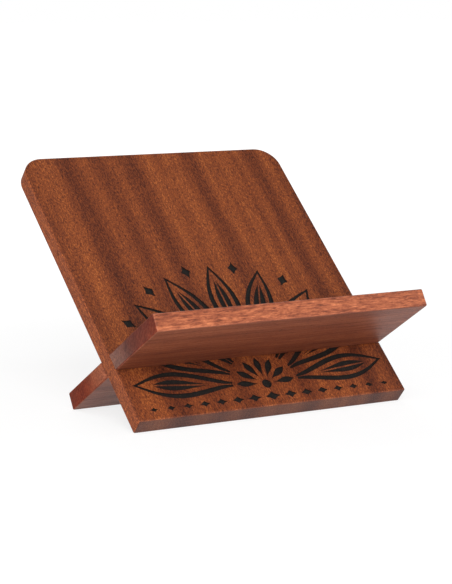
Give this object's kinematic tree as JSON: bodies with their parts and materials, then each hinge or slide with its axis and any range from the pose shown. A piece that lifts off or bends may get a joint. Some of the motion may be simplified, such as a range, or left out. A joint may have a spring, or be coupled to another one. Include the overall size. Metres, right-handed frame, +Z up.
{
  "type": "steel tongue drum stand",
  "caption": "Wooden stand that slots together from a leaning back panel and a crossing ledge board, and holds a steel tongue drum at a playing angle.",
  "frame": {"origin": "on the floor, under the middle of the stand's outline", "axes": "+Z up, +X along the stand's width, to the right as the player sees it, +Y to the rear; the player is at -Y"},
  "size_m": [0.25, 0.247, 0.1965],
  "materials": {
    "panel_wood": "oiled mahogany with soft dark stripes along the panel, fine open pores and a black burnt ornament sunk in the front face",
    "ledge_wood": "oiled mahogany with its grain along the board and darker end grain at the sides"
  },
  "bodies": {
    "panel": {"back_panel": "panel_wood"},
    "ledge": {"ledge_board": "ledge_wood"}
  },
  "joints": [
    {"name": "ledge_slide", "type": "slide", "parent": "panel", "child": "ledge", "axis": [1, 0, 0], "range_m": [0, 0.255]}
  ]
}
